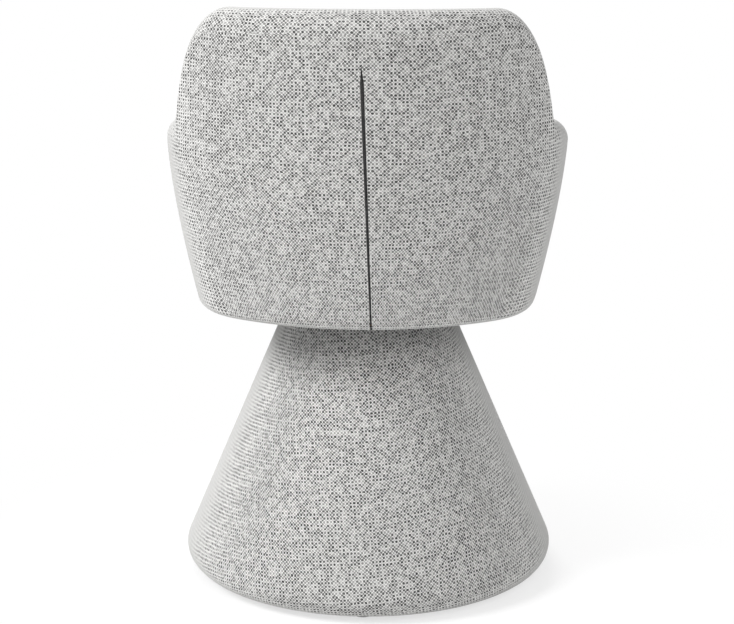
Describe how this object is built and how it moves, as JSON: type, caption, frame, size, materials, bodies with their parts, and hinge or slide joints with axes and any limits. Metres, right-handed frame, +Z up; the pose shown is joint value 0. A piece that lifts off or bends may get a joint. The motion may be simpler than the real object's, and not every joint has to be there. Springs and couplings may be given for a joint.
{
  "type": "swivel chair",
  "caption": "Upholstered tub chair with low arms that swivels on an upholstered conical pedestal, with a zip in the rear of the shell.",
  "frame": {"origin": "on the floor under the swivel axis", "axes": "+Z up along the swivel axis, the sitter faces -Y, +X to the sitter's left"},
  "size_m": [0.5382, 0.568, 0.82],
  "materials": {
    "tweed": "light grey basket-weave tweed",
    "foam": "polyurethane foam",
    "wadding": "polyester wadding",
    "board": "raw plywood",
    "raw_steel": "black painted steel",
    "zinc_steel": "bright zinc plate",
    "nylon": "moulded nylon",
    "acetal": "moulded acetal",
    "webbing": "elastic webbing",
    "zip_tape": "woven tape",
    "zip_coil": "nylon coil",
    "zip_metal": "black painted zinc",
    "black_felt": "non-woven sheet"
  },
  "bodies": {
    "base": {"glides": "nylon", "base_dust_cover": "black_felt", "bottom_board": "board", "ballast_plate": "raw_steel", "rib_long": "board", "rib_cross": "board", "cone_wall": "board", "top_board": "board", "base_foam": "foam", "base_cover": "tweed", "lower_swivel_plate": "zinc_steel", "slide_ring": "acetal", "king_pin": "zinc_steel", "pin_nut": "zinc_steel", "lower_plate_bolts": "zinc_steel"},
    "seat": {"upper_swivel_plate": "zinc_steel", "pin_bush": "nylon", "upper_plate_bolts": "zinc_steel", "mount_board": "board", "seat_ring": "board", "webbing_straps": "webbing", "shell_core": "board", "outer_padding": "wadding", "shell_foam": "foam", "cover_outer": "tweed", "cover_inner": "tweed", "zip_tape": "zip_tape", "zip_coil": "zip_coil", "seat_foam": "foam", "seat_cover": "tweed", "seat_dust_cover": "black_felt"},
    "zip_slider": {"zip_slider": "zip_metal"}
  },
  "joints": [
    {"name": "seat_swivel", "type": "hinge", "parent": "base", "child": "seat", "pos_m": [0, 0, 0.3905], "axis": [0, 0, 1], "continuous": true},
    {"name": "zip_slide", "type": "slide", "parent": "seat", "child": "zip_slider", "axis": [0.0284, 0.1616, 0.9864], "range_m": [0, 0.3271]}
  ]
}
